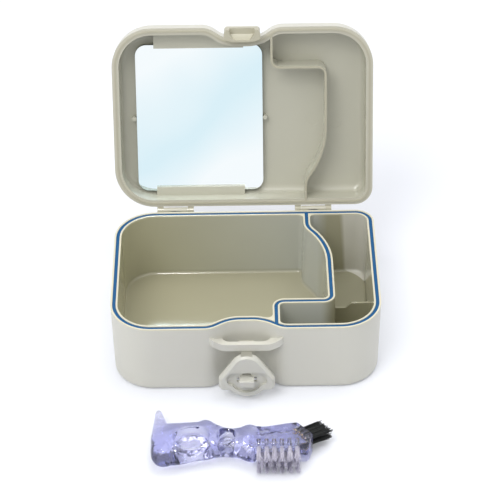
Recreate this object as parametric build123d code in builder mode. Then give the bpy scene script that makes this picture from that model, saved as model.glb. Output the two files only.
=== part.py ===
"""Denture case: hinged two-compartment box with mirror, gasket, swing latch and a clear brush.

Frame: millimetres, +X to the right, +Y to the hinge side, +Z up. The origin is the centre of the
base's flat underside. The case stands open: the lid leans back on its hinge stops, the latch hangs
on its stop and the brush lies on its side in front of the case.
"""
from build123d import *
from math import atan2, cos, degrees, hypot, radians, sin, tan
import os

# ---------------------------------------------------------------- case shell
case_width = 130.0
case_depth = 92.4
base_height = 38.3
lid_height = 15.0
corner_radius = 20.0
rear_right_radius = 9.0
outer_draft = 1.2
lid_draft = 2.0
inner_draft = 1.0
base_foot_radius = 2.5
base_floor = 2.2
floor_radius = 1.4
lid_edge_radius = 7.0
lid_floor = 2.0
lid_floor_radius = 3.5
lid_gap = 0.1

# bow in the front wall, where the handle and the latch sit
bow_depth = 6.2
bow_mouth_half = 16.9
bow_floor_half = 7.45
bow_mouth_radius = 12.0
bow_floor_radius = 16.0

# rim, gasket and the lid's sealing bead
rim_width = 3.4
gasket_width = 1.6
gasket_height = 1.3
gasket_sink = 0.4
gasket_clearance = 0.05
bead_width = 0.9
seal_gap = 0.05

# partition between the main compartment and the brush compartment
partition_front_x = 14.5
partition_foot_depth = 20.7
partition_side_x = 41.4
partition_rear_x = 31.3
partition_rear_straight = 13.2
partition_bend_length = 13.9
partition_radii = [4.0, 4.0, 42.0, 10.0]
junction_radius = 2.6
lid_rib_width = 1.2

# brush rest: a thin wall across the brush compartment, with a step in its top edge
rest_y = -4.0
rest_thickness = 1.2
rest_low = 15.9
rest_high = 18.8
rest_step_x = 50.8
rest_step_radius = 1.3

# hinges
hinge_offset_x = 34.9
hinge_behind = 2.0
hinge_below = 0.6
lid_open_angle = 109.0
knuckle_radius = 1.75
knuckle_width = 12.1
lug_width = 3.0
lug_side_gap = 0.15
hinge_pin_radius = 0.75
running_clearance = 0.05
hinge_stop_gap = 0.05
hinge_stop_height = 0.9
hinge_gusset_height = 8.0
lug_arm_rise = 6.0
lug_arm_back = 1.4
lug_root = 1.2
lug_rim_gap = 0.2
hinge_block_rise = 0.4
hinge_block_step = 0.3
pocket_width = 4.5
pocket_depth = 2.5
pocket_rear_wall = 0.8

# handle, moulded across the bow
handle_drop = 8.9
handle_height = 3.9
handle_bar = 2.4
handle_proud = 1.1
handle_half = 17.8
handle_end_radius = 2.5
handle_mouth_half = 12.6
handle_grip_half = 10.4
handle_rise_start = 11.5
handle_rise_angle = 30.0
handle_rise_radius = 6.0
handle_grip_radius = 4.0

# latch, described closed: s runs up the plate from the pivot
latch_pivot_out = 9.8
latch_pivot_drop = 15.7
latch_lean = 6.0
latch_thickness = 3.0
latch_inset = 2.4
latch_half_width = 13.45
latch_shoulder_s = 10.3
latch_peak_s = -8.4
latch_peak_radius = 7.8
latch_shoulder_radius = 2.5
latch_foot_s = 17.2
latch_foot_radius = 3.0
tab_radius = 10.7
tab_end_s = 20.9
notch_radius = 1.5
latch_bevel = 1.3
dish_half_width = 9.6
dish_low_s = 6.6
dish_high_s = 13.8
dish_corner_radius = 2.8
dish_tab_rim = 2.9
dish_depth = 1.6
hook_half_width = 3.45
hook_low_s = 9.2
hook_high_s = 12.6
hook_reach = 3.6
hook_edge_radius = 0.4
top_slot_half = 2.1
top_slot_height = 2.3
side_slot_width = 1.4
side_slot_height = 2.8
latch_lug_half = 2.6
latch_pad_half = 3.85
latch_lug_radius = 1.3
latch_arm_drop = 3.2
latch_arm_height = 2.3
latch_gusset_height = 3.5
latch_pad_out = 0.8
latch_skin = 1.0
latch_groove_end_s = 5.9
latch_side_gap = 0.15
cheek_width = 1.6
cheek_radius = 1.4
latch_pin_radius = 0.6
latch_stop_gap = 0.05
wall_root = 1.8

# tongue on the lid that the latch hooks over
tongue_half_width = 8.9
tongue_out = 6.5
tongue_drop = 7.0
tongue_rise = 2.0
tongue_corner_radius = 1.8
tongue_clearance = 0.35
hook_clearance = 0.15
scoop_front_half = 6.2
scoop_back_half = 3.6
scoop_wide_depth = 2.2
scoop_corner_radius = 1.5
scoop_lip = 0.9
scoop_radius = 9.0

# mirror and what holds it in the lid
mirror_width = 63.6
mirror_front_clearance = 1.2
mirror_rear_clearance = 2.2
mirror_x = -21.9
mirror_thickness = 1.5
mirror_corner_radius = 5.5
mirror_depth = 10.0
mirror_gap = 0.1
mirror_seat_inset = 3.0
shelf_width = 44.8
shelf_thickness = 1.6
shelf_overlap = 1.4
lip_overlap = 2.2
mirror_nub_radius = 1.1
mirror_nub_rise = 0.5
ejector_radius = 3.2
ejector_depth = 0.2
ejector_spots = [(35.1, 4.9), (46.6, 6.1), (24.9, -31.9), (37.3, 36.0)]

# brush, lying on its side in front of the case
brush_y = -92.5
brush_thickness = 12.0
brush_web = 3.0
# handle sections: x, middle y, half width in y, half height in z
brush_sections = [
    (-40.0, 2.2, 12.4, 5.6), (-37.0, 2.3, 12.9, 5.85), (-34.0, 2.4, 13.0, 5.95), (-31.0, 2.7, 12.8, 5.95),
    (-28.0, 3.1, 12.4, 5.95), (-25.0, 3.7, 11.9, 5.95), (-22.0, 4.4, 12.1, 5.95), (-19.0, 4.9, 12.1, 5.95),
    (-16.0, 4.4, 10.5, 5.95), (-13.0, 3.6, 8.8, 5.94), (-10.0, 2.9, 7.9, 5.9), (-7.0, 2.5, 7.8, 5.9),
    (-4.0, 2.4, 8.5, 5.9), (-1.0, 2.3, 10.4, 5.9), (2.0, 2.1, 11.1, 5.9), (5.0, 1.6, 9.2, 5.7),
    (8.0, 1.4, 7.4, 5.4), (11.0, 1.3, 6.0, 5.0),
]
# thumb fin sections: y, middle x, half width in x, half height in z
fin_sections = [
    (-10.4, -38.8, 2.4, 1.8), (-9.4, -38.8, 4.2, 3.4), (-6.6, -38.9, 5.8, 5.2),
    (-1.0, -39.0, 6.2, 5.8), (5.0, -39.4, 5.8, 5.5), (11.0, -40.2, 4.5, 4.3),
    (16.0, -41.0, 3.2, 3.0), (20.0, -41.5, 2.3, 2.1), (23.2, -41.8, 1.7, 1.5),
    (24.8, -41.9, 1.0, 0.9),
]
brush_ovals = [(-26.2, 2.0, 8.4, 6.6, 12.0), (-10.0, 2.4, 4.8, 4.2, 75.0)]
head_outline = [
    (1.0, -5.0), (28.2, -5.0), (30.4, 2.2), (23.3, 10.4), (18.0, 9.6), (8.0, 7.6), (1.0, 8.6),
]
head_corner_radii = [2.0, 2.5, 1.6, 1.6, 6.0, 8.0, 2.0]
head_edge_radius = 1.2
end_face_bottom = head_outline[2]
end_face_top = head_outline[3]
tuft_face_y = -5.0
tuft_recess_x = 3.2
tuft_radius = 1.0
tuft_tip_radius = 1.3
tuft_reach = 9.2
tuft_row_gap = 3.6
tuft_pitch = 3.55
tuft_count = 6
tuft_start_x = 5.1
tuft_hole_depth = 5.0
dark_tuft_reach = 11.0
dark_tuft_tip_radius = 1.14
dark_tuft_count = 4
dark_tuft_pitch = 2.35
dark_hole_depth = 3.5
tuft_hole_clearance = 0.05
anchor_thickness = 0.35
anchor_height = 0.7

# ---------------------------------------------------------------- worked-out places
half_width = case_width / 2
half_depth = case_depth / 2
lid_rim_z = base_height + lid_gap
bow_wall_y = -half_depth + bow_depth
partition_foot_y = -half_depth + partition_foot_depth
partition_bend_rear_y = half_depth - partition_rear_straight
partition_bend_front_y = partition_bend_rear_y - partition_bend_length
hinge_y = half_depth + hinge_behind
hinge_z = base_height - hinge_below
hinge_axis = Axis((0, hinge_y, hinge_z), (1, 0, 0))
handle_top = base_height - handle_drop
latch_pivot_z = base_height - latch_pivot_drop
hinge_length = knuckle_width + 2 * (lug_side_gap + lug_width)
latch_pivot_y = bow_wall_y - latch_pivot_out
latch_axis = Axis((0, latch_pivot_y, latch_pivot_z), (1, 0, 0))
latch_face_y = latch_pivot_y + latch_inset
groove_width = gasket_width + 2 * gasket_clearance
groove_depth = gasket_sink + gasket_height
bead_drop = lid_gap + gasket_sink - seal_gap
lid_top_z = lid_rim_z + lid_height
mirror_front_y = bow_wall_y + rim_width + mirror_front_clearance
mirror_rear_y = half_depth - rim_width - mirror_rear_clearance
mirror_height = mirror_rear_y - mirror_front_y
mirror_y = (mirror_rear_y + mirror_front_y) / 2
lid_cavity_depth = lid_height - lid_floor

os.makedirs("parts", exist_ok=True)


def finish(name, part):
    """Labels a finished piece and writes its file."""
    part.label = name
    export_step(part, f"parts/{name}.step")


# ---------------------------------------------------------------- shared outlines
def outline_face(inset=0.0):
    """Rim outline of base and lid, moved in from the outer wall (out for a negative inset)."""
    corners = [
        (-half_width, -half_depth),
        (-bow_mouth_half, -half_depth),
        (-bow_floor_half, bow_wall_y),
        (bow_floor_half, bow_wall_y),
        (bow_mouth_half, -half_depth),
        (half_width, -half_depth),
        (half_width, half_depth),
        (-half_width, half_depth),
    ]
    radii = [
        corner_radius,
        bow_mouth_radius,
        bow_floor_radius,
        bow_floor_radius,
        bow_mouth_radius,
        corner_radius,
        rear_right_radius,
        corner_radius,
    ]
    with BuildSketch() as outline:
        with BuildLine():
            FilletPolyline(*corners, radius=radii, close=True)
        make_face()
        if inset != 0:
            offset(amount=-inset, mode=Mode.REPLACE)
    return outline.sketch


def partition_face(width, inset):
    """Band of the given width along the partition, ending at the given inset from the outer wall."""
    route = [
        (partition_front_x, -half_depth),
        (partition_front_x, partition_foot_y),
        (partition_side_x, partition_foot_y),
        (partition_side_x, partition_bend_front_y),
        (partition_rear_x, partition_bend_rear_y),
        (partition_rear_x, half_depth),
    ]
    with BuildSketch() as band:
        with BuildLine():
            FilletPolyline(*route, radius=partition_radii)
        trace(line_width=width)
        add(outline_face(inset), mode=Mode.INTERSECT)
    return band.sketch


def seal_face(width):
    """Closed loop round the rim plus the partition branch, centred on the rim."""
    centre = rim_width / 2
    with BuildSketch() as seal:
        add(outline_face(centre - width / 2))
        add(outline_face(centre + width / 2), mode=Mode.SUBTRACT)
        add(partition_face(width, centre))
    return seal.sketch


# ---------------------------------------------------------------- base tub
with BuildPart() as tub_hollow:
    with BuildSketch(Plane.XY.offset(base_height)) as hollow_plan:
        add(outline_face(rim_width))
        add(partition_face(rim_width, 0), mode=Mode.SUBTRACT)
        sharp_spots = []
        for side in (-1, 1):
            sharp_spots.append((partition_rear_x + side * rim_width / 2, half_depth - rim_width))
            sharp_spots.append((partition_front_x + side * rim_width / 2, -half_depth + rim_width))
        for spot in sharp_spots:
            fillet(hollow_plan.vertices().sort_by_distance(spot)[0], junction_radius)
    extrude(amount=-(base_height - base_floor), taper=inner_draft)
    fillet(edges().group_by(Axis.Z)[0], floor_radius)

with BuildPart() as brush_rest:
    rest_end_x = half_width - rim_width + 0.6
    rest_outline = [
        (partition_side_x, base_floor / 2),
        (rest_end_x, base_floor / 2),
        (rest_end_x, rest_high),
        (rest_step_x + rest_step_radius, rest_high),
        (rest_step_x - rest_step_radius, rest_low),
        (partition_side_x, rest_low),
    ]
    with BuildSketch(Plane.XZ.offset(-rest_y)):
        with BuildLine():
            FilletPolyline(
                *rest_outline, radius=[0, 0, 0, rest_step_radius, rest_step_radius, 0], close=True
            )
        make_face()
    extrude(amount=rest_thickness / 2, both=True)

with BuildPart() as base_tub:
    # drafted outer wall with a rounded foot
    with BuildSketch(Plane.XY.offset(base_height)):
        add(outline_face())
    extrude(amount=-base_height, taper=outer_draft)
    fillet(edges().group_by(Axis.Z)[0], base_foot_radius)

    # handle bar across the bow, with ends that curve up into its mouth
    handle_front_y = -half_depth - handle_proud
    handle_grip_y = handle_front_y + handle_bar
    with BuildPart(mode=Mode.PRIVATE) as handle:
        with BuildSketch(Plane.XY.offset(handle_top - handle_height)):
            with BuildLine():
                FilletPolyline(
                    (-handle_half, bow_wall_y + wall_root),
                    (-handle_half, handle_front_y),
                    (handle_half, handle_front_y),
                    (handle_half, bow_wall_y + wall_root),
                    radius=[0, handle_end_radius, handle_end_radius, 0],
                    close=True,
                )
            make_face()
            with BuildLine():
                FilletPolyline(
                    (-handle_mouth_half, bow_wall_y + 0.3),
                    (-handle_grip_half, handle_grip_y),
                    (handle_grip_half, handle_grip_y),
                    (handle_mouth_half, bow_wall_y + 0.3),
                    radius=[0, handle_grip_radius, handle_grip_radius, 0],
                    close=True,
                )
            make_face(mode=Mode.SUBTRACT)
        extrude(amount=3 * handle_height)
        end_x = handle_half + 1
        end_rise = (end_x - handle_rise_start) * tan(radians(handle_rise_angle))
        handle_low = handle_top - handle_height
        with BuildSketch(Plane.XZ):
            with BuildLine():
                FilletPolyline(
                    (-end_x, handle_low + end_rise),
                    (-handle_rise_start, handle_low),
                    (handle_rise_start, handle_low),
                    (end_x, handle_low + end_rise),
                    (end_x, handle_top + end_rise),
                    (handle_rise_start, handle_top),
                    (-handle_rise_start, handle_top),
                    (-end_x, handle_top + end_rise),
                    radius=[0, handle_rise_radius, handle_rise_radius, 0]
                    + [0, handle_rise_radius, handle_rise_radius, 0],
                    close=True,
                )
            make_face()
        extrude(amount=case_depth, both=True, mode=Mode.INTERSECT)
    add(handle.part)

    # hinge knuckles on a gusset down the rear wall
    for side in (-1, 1):
        with BuildSketch(Plane.YZ.offset(side * hinge_offset_x)):
            with BuildLine():
                Polyline(
                    (half_depth - lug_root, base_height),
                    (half_depth + hinge_block_step, base_height),
                    (half_depth + hinge_block_step, base_height + hinge_block_rise),
                    (hinge_y + lug_arm_back, base_height + hinge_block_rise),
                    (hinge_y + knuckle_radius, hinge_z),
                    (half_depth - lug_root, base_height - hinge_gusset_height),
                    close=True,
                )
            make_face()
            with Locations((hinge_y, hinge_z)):
                Circle(knuckle_radius)
        extrude(amount=knuckle_width / 2, both=True)

    # latch lug: an arm from the bow wall that turns up to the pivot
    lean = radians(latch_lean)
    stop_offset = latch_inset - latch_skin - latch_stop_gap
    arm_top = latch_pivot_z - latch_arm_drop
    arm_bottom = arm_top - latch_arm_height
    stop_y = latch_pivot_y - stop_offset * cos(lean)
    stop_z = latch_pivot_z + stop_offset * sin(lean)
    foot_y = stop_y - (stop_z - arm_bottom) * tan(lean)
    root_y = bow_wall_y + wall_root
    with BuildSketch(Plane.YZ):
        with BuildLine():
            Polyline(
                (stop_y, stop_z),
                (foot_y, arm_bottom),
                (latch_pivot_y + latch_inset, arm_bottom),
                (root_y, arm_bottom - latch_gusset_height),
                (root_y, arm_top),
                (latch_pivot_y + latch_lug_radius, arm_top),
                (latch_pivot_y + latch_lug_radius, latch_pivot_z),
                close=True,
            )
        make_face()
        with Locations((latch_pivot_y, latch_pivot_z)):
            Circle(latch_lug_radius)
    extrude(amount=latch_lug_half, both=True)
    with BuildSketch(Plane.YZ):
        with BuildLine():
            Polyline(
                (root_y, arm_bottom),
                (bow_wall_y - latch_pad_out, arm_bottom),
                (bow_wall_y - latch_pad_out, handle_top - handle_height),
                (root_y, handle_top - handle_height),
                close=True,
            )
        make_face()
    extrude(amount=latch_pad_half, both=True)

    # compartments, gasket groove, pin bores and hinge pockets
    add(tub_hollow.part, mode=Mode.SUBTRACT)
    add(brush_rest.part)
    with BuildSketch(Plane.XY.offset(base_height)):
        add(seal_face(groove_width))
    extrude(amount=-groove_depth, mode=Mode.SUBTRACT)
    with BuildSketch(Plane.YZ):
        with Locations((hinge_y, hinge_z)):
            Circle(hinge_pin_radius + running_clearance)
    extrude(amount=half_width, both=True, mode=Mode.SUBTRACT)
    with BuildSketch(Plane.YZ):
        with Locations((latch_pivot_y, latch_pivot_z)):
            Circle(latch_pin_radius + running_clearance)
    extrude(amount=latch_lug_half + 1, both=True, mode=Mode.SUBTRACT)
    pocket_rear_y = hinge_y + knuckle_radius - pocket_rear_wall
    pocket_front_y = half_depth + hinge_block_step
    with BuildSketch(Plane.XY.offset(base_height + hinge_block_rise)):
        with Locations(
            (-hinge_offset_x, (pocket_front_y + pocket_rear_y) / 2),
            (hinge_offset_x, (pocket_front_y + pocket_rear_y) / 2),
        ):
            Rectangle(pocket_width, pocket_rear_y - pocket_front_y)
    extrude(amount=-pocket_depth, mode=Mode.SUBTRACT)
    base_tub.part.color = Color(0.80, 0.80, 0.76)
finish("base_tub", base_tub.part)

with BuildPart() as rim_gasket:
    with BuildSketch(Plane.XY.offset(base_height - groove_depth)):
        add(seal_face(gasket_width))
    extrude(amount=gasket_height)
finish("rim_gasket", rim_gasket.part)

# ---------------------------------------------------------------- lid, drawn closed, then opened
mirror_face_z = lid_rim_z + mirror_depth
mirror_back_z = mirror_face_z + mirror_thickness
lid_floor_z = lid_rim_z + lid_cavity_depth
keeper_top_z = mirror_face_z - mirror_gap
shelf_edge_y = mirror_y - mirror_height / 2 + shelf_overlap
lip_edge_y = mirror_y + mirror_height / 2 - lip_overlap
nub_spots = [
    (mirror_x - mirror_width / 2 - mirror_nub_radius - mirror_gap, mirror_y),
    (mirror_x + mirror_width / 2 + mirror_nub_radius + mirror_gap, mirror_y),
]

with BuildPart() as lid_hollow:
    with BuildSketch(Plane.XY.offset(lid_rim_z)):
        add(outline_face(rim_width))
    extrude(amount=lid_cavity_depth, taper=inner_draft)
    fillet(edges().group_by(Axis.Z)[-1], lid_floor_radius)

    # shelf and lip that keep the mirror, the seat behind it and the nubs beside it stay solid
    with BuildSketch(Plane.XY.offset(keeper_top_z)):
        with Locations((mirror_x, (shelf_edge_y - half_depth) / 2)):
            Rectangle(shelf_width, shelf_edge_y + half_depth)
        with Locations((mirror_x, (lip_edge_y + half_depth) / 2)):
            Rectangle(shelf_width, half_depth - lip_edge_y)
    extrude(amount=-shelf_thickness, mode=Mode.SUBTRACT)
    with BuildSketch(Plane.XY.offset(mirror_back_z)):
        with Locations((mirror_x, mirror_y)):
            RectangleRounded(
                mirror_width - 2 * mirror_seat_inset,
                mirror_height - 2 * mirror_seat_inset,
                mirror_corner_radius,
            )
    extrude(amount=lid_floor_z - mirror_back_z + 0.5, mode=Mode.SUBTRACT)
    with BuildSketch(Plane.XY.offset(mirror_face_z - mirror_nub_rise)):
        with Locations(nub_spots):
            Circle(mirror_nub_radius)
    extrude(amount=lid_floor_z - mirror_face_z + mirror_nub_rise + 0.5, mode=Mode.SUBTRACT)

with BuildPart() as lid_closed:
    # drafted shell with a broad rounded edge, drawn from its top face down to the rim
    lid_top_inset = lid_height * tan(radians(lid_draft))
    with BuildSketch(Plane.XY.offset(lid_top_z)):
        add(outline_face(lid_top_inset))
    extrude(amount=-lid_height, taper=-lid_draft)
    fillet(edges().group_by(Axis.Z)[-1], lid_edge_radius)

    # hinge lugs, with a pad under each that meets the rear wall when the lid is open
    lug_offset = knuckle_width / 2 + lug_side_gap + lug_width / 2
    stop_face_y = half_depth - hinge_below * tan(radians(outer_draft)) + hinge_stop_gap
    opened_pad = [
        (stop_face_y, hinge_z - hinge_stop_height),
        (hinge_y, hinge_z - hinge_stop_height),
        (hinge_y, hinge_z),
        (stop_face_y, hinge_z),
    ]
    turn = radians(lid_open_angle)
    closed_pad = []
    for pad_y, pad_z in opened_pad:
        out = pad_y - hinge_y
        up = pad_z - hinge_z
        closed_pad.append(
            (hinge_y + out * cos(turn) - up * sin(turn), hinge_z + out * sin(turn) + up * cos(turn))
        )
    for side in (-1, 1):
        for end in (-1, 1):
            lug_x = side * hinge_offset_x + end * lug_offset
            with BuildSketch(Plane.YZ.offset(lug_x)):
                with BuildLine():
                    Polyline(
                        (half_depth - lug_root, lid_rim_z + lug_rim_gap),
                        (half_depth + 0.2, lid_rim_z + lug_rim_gap),
                        (hinge_y - knuckle_radius + 0.2, hinge_z),
                        (hinge_y + knuckle_radius, hinge_z),
                        (hinge_y + knuckle_radius, lid_rim_z + lug_rim_gap + 0.5),
                        (half_depth + 0.9, lid_rim_z + lug_arm_rise),
                        (half_depth - lug_root, lid_rim_z + lug_arm_rise),
                        close=True,
                    )
                make_face()
                with BuildLine():
                    Polyline(*closed_pad, close=True)
                make_face()
                with Locations((hinge_y, hinge_z)):
                    Circle(knuckle_radius)
            extrude(amount=lug_width / 2, both=True)

    # tongue in front of the bow, open underneath and with a window for the hook
    tongue_low_z = base_height - tongue_drop
    tongue_high_z = base_height + tongue_rise
    tongue_front_y = bow_wall_y - tongue_out
    tongue_back_y = bow_wall_y - tongue_clearance
    with BuildSketch(Plane.XY.offset(tongue_low_z)):
        with BuildLine():
            FilletPolyline(
                (-tongue_half_width, tongue_back_y),
                (-tongue_half_width, tongue_front_y),
                (tongue_half_width, tongue_front_y),
                (tongue_half_width, tongue_back_y),
                radius=[0, tongue_corner_radius, tongue_corner_radius, 0],
                close=True,
            )
        make_face()
    extrude(amount=tongue_high_z - tongue_low_z)
    with BuildSketch(Plane.XY.offset(lid_rim_z)):
        with Locations((0, tongue_back_y + 1)):
            Rectangle(2 * tongue_half_width, 2 + 2 * tongue_clearance)
    extrude(amount=tongue_high_z - lid_rim_z)
    with BuildSketch(Plane.XY.offset(lid_rim_z)):
        add(outline_face(-tongue_clearance))
    extrude(amount=tongue_low_z - lid_rim_z, mode=Mode.SUBTRACT)
    # spoon-shaped hollow in the tongue's underside, open at the front for the hook
    scoop_top_z = latch_pivot_z + hook_high_s + hook_clearance
    hook_tip_y = latch_face_y + hook_reach + hook_clearance
    scoop_back_y = tongue_back_y - scoop_lip
    with BuildPart(mode=Mode.PRIVATE) as scoop:
        with BuildSketch(Plane.XY.offset(tongue_low_z - 1)):
            with BuildLine():
                FilletPolyline(
                    (-scoop_front_half, tongue_front_y - 1),
                    (scoop_front_half, tongue_front_y - 1),
                    (scoop_front_half, tongue_front_y + scoop_wide_depth),
                    (scoop_back_half, scoop_back_y),
                    (-scoop_back_half, scoop_back_y),
                    (-scoop_front_half, tongue_front_y + scoop_wide_depth),
                    radius=[0, 0] + 4 * [scoop_corner_radius],
                    close=True,
                )
            make_face()
        extrude(amount=tongue_drop + tongue_rise)
        with BuildSketch(Plane.YZ):
            with BuildLine():
                Polyline(
                    (scoop_back_y, tongue_low_z - 0.1),
                    (tongue_front_y - 1, tongue_low_z - 0.1),
                    (tongue_front_y - 1, scoop_top_z),
                    (hook_tip_y, scoop_top_z),
                )
                RadiusArc((hook_tip_y, scoop_top_z), (scoop_back_y, tongue_low_z - 0.1), scoop_radius)
            make_face()
        extrude(amount=tongue_half_width, both=True, mode=Mode.INTERSECT)
    add(scoop.part, mode=Mode.SUBTRACT)

    # inside of the lid
    add(lid_hollow.part, mode=Mode.SUBTRACT)
    with BuildSketch(Plane.XY.offset(lid_rim_z)):
        add(partition_face(lid_rib_width, rim_width - 0.4))
    extrude(amount=lid_cavity_depth + 0.5)
    with BuildSketch(Plane.XY.offset(lid_rim_z - bead_drop)):
        add(seal_face(bead_width))
    extrude(amount=bead_drop + 0.3)
    with BuildSketch(Plane.XY.offset(lid_floor_z)):
        with Locations(ejector_spots):
            Circle(ejector_radius)
    extrude(amount=ejector_depth, mode=Mode.SUBTRACT)
    with BuildSketch(Plane.YZ):
        with Locations((hinge_y, hinge_z)):
            Circle(hinge_pin_radius)
    extrude(amount=half_width, both=True, mode=Mode.SUBTRACT)

with BuildPart() as mirror_closed:
    with BuildSketch(Plane.XY.offset(mirror_face_z)):
        with Locations((mirror_x, mirror_y)):
            RectangleRounded(mirror_width, mirror_height, mirror_corner_radius)
    extrude(amount=mirror_thickness)

lid_shell = lid_closed.part.rotate(hinge_axis, -lid_open_angle)
finish("lid_shell", lid_shell)
mirror = mirror_closed.part.rotate(hinge_axis, -lid_open_angle)
finish("mirror", mirror)

for side_name, side in (("left", -1), ("right", 1)):
    with BuildPart() as hinge_pin:
        with BuildSketch(Plane.YZ.offset(side * hinge_offset_x)):
            with Locations((hinge_y, hinge_z)):
                Circle(hinge_pin_radius)
        extrude(amount=hinge_length / 2, both=True)
    finish(f"hinge_pin_{side_name}", hinge_pin.part)

# ---------------------------------------------------------------- latch, drawn closed, then let down
cheek_start = latch_lug_half + latch_side_gap
with BuildPart() as latch_closed:
    # plate: gabled towards the pivot, round finger tab at the free end
    inner_face = Plane(origin=(0, latch_face_y, latch_pivot_z), x_dir=(1, 0, 0), z_dir=(0, -1, 0))
    with BuildSketch(inner_face) as latch_plan:
        with BuildLine():
            FilletPolyline(
                (0, latch_peak_s),
                (latch_half_width, latch_shoulder_s),
                (latch_half_width, latch_foot_s),
                (-latch_half_width, latch_foot_s),
                (-latch_half_width, latch_shoulder_s),
                radius=[
                    latch_peak_radius,
                    latch_shoulder_radius,
                    latch_foot_radius,
                    latch_foot_radius,
                    latch_shoulder_radius,
                ],
                close=True,
            )
        make_face()
        with Locations((0, tab_end_s - tab_radius)):
            Circle(tab_radius)
        notch_half = (tab_radius**2 - (latch_foot_s - tab_end_s + tab_radius) ** 2) ** 0.5
        for side in (-1, 1):
            notch = latch_plan.vertices().sort_by_distance((side * notch_half, latch_foot_s))[0]
            fillet(notch, notch_radius)
    extrude(amount=latch_thickness)
    face_edges = edges().group_by(Axis.Y)[-1]
    gable_edges = [e for e in face_edges if e.center().Z < latch_pivot_z + latch_shoulder_s - 1]
    chamfer(gable_edges, latch_bevel)

    # dish with the hook standing in it
    with BuildSketch(inner_face) as dish_plan:
        with Locations((0, (dish_low_s + dish_high_s) / 2)):
            RectangleRounded(2 * dish_half_width, dish_high_s - dish_low_s, dish_corner_radius)
        with BuildSketch(mode=Mode.PRIVATE) as dish_tab:
            with Locations((0, tab_end_s - tab_radius)):
                Circle(tab_radius - dish_tab_rim)
            with Locations((0, dish_low_s + dish_corner_radius - tab_radius)):
                Rectangle(4 * tab_radius, 2 * tab_radius, mode=Mode.SUBTRACT)
        add(dish_tab.sketch)
    extrude(amount=dish_depth, mode=Mode.SUBTRACT)
    hook_mid_s = (hook_low_s + hook_high_s) / 2
    with BuildSketch(inner_face.offset(-hook_reach)):
        with Locations((0, hook_mid_s)):
            Rectangle(2 * hook_half_width, hook_high_s - hook_low_s)
    extrude(amount=hook_reach + dish_depth)
    hook_edges = edges().filter_by(Axis.X).group_by(Axis.Y)[-1]
    fillet(hook_edges, hook_edge_radius)
    with BuildSketch(inner_face):
        with Locations((0, dish_low_s + 0.1 + top_slot_height / 2)):
            Rectangle(2 * top_slot_half, top_slot_height)
        slot_x = hook_half_width + side_slot_width / 2
        slot_s = hook_high_s - side_slot_height / 2
        with Locations((-slot_x, slot_s), (slot_x, slot_s)):
            Rectangle(side_slot_width, side_slot_height)
    extrude(amount=latch_thickness, mode=Mode.SUBTRACT)

    # groove for the lug in the outer face, between two pin cheeks
    with BuildSketch(inner_face.offset(latch_skin)):
        with Locations((0, (latch_groove_end_s + latch_peak_s) / 2)):
            Rectangle(2 * cheek_start, latch_groove_end_s - latch_peak_s)
    extrude(amount=latch_thickness, mode=Mode.SUBTRACT)
    for side in (-1, 1):
        with BuildSketch(Plane.YZ.offset(side * (cheek_start + cheek_width / 2))):
            with Locations((latch_pivot_y, latch_pivot_z)):
                Circle(cheek_radius)
        extrude(amount=cheek_width / 2, both=True)
    with BuildSketch(Plane.YZ):
        with Locations((latch_pivot_y, latch_pivot_z)):
            Circle(latch_pin_radius)
    extrude(amount=cheek_start + cheek_width, both=True, mode=Mode.SUBTRACT)

latch_flap = latch_closed.part.rotate(latch_axis, 180 - latch_lean)
finish("latch_flap", latch_flap)

with BuildPart() as latch_pin:
    with BuildSketch(Plane.YZ):
        with Locations((latch_pivot_y, latch_pivot_z)):
            Circle(latch_pin_radius)
    extrude(amount=cheek_start + cheek_width, both=True)
finish("latch_pin", latch_pin.part)

# ---------------------------------------------------------------- brush, lying on its side
brush_mid = brush_thickness / 2
face_x = end_face_bottom[0] - end_face_top[0]
face_y = end_face_bottom[1] - end_face_top[1]
face_length = hypot(face_x, face_y)
end_normal = (-face_y / face_length, face_x / face_length)
end_mid = (
    (end_face_top[0] + end_face_bottom[0]) / 2,
    (end_face_top[1] + end_face_bottom[1]) / 2 + brush_y,
)
tuft_plane = Plane(
    origin=(0, brush_y + tuft_face_y, brush_mid), x_dir=(1, 0, 0), z_dir=(0, -1, 0)
)
dark_plane = Plane(
    origin=(end_mid[0], end_mid[1], brush_mid),
    x_dir=(-end_normal[1], end_normal[0], 0),
    z_dir=(end_normal[0], end_normal[1], 0),
)
clear_spots = []
for row in (-1, 0, 1):
    shift = tuft_pitch / 2 if row == 0 else 0.0
    for column in range(tuft_count - (1 if row == 0 else 0)):
        clear_spots.append((tuft_start_x + shift + column * tuft_pitch, row * tuft_row_gap))
dark_spots = []
for row in (-0.5, 0.5):
    for column in range(dark_tuft_count):
        across = (column - (dark_tuft_count - 1) / 2) * dark_tuft_pitch
        dark_spots.append((across, row * tuft_row_gap))

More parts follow.
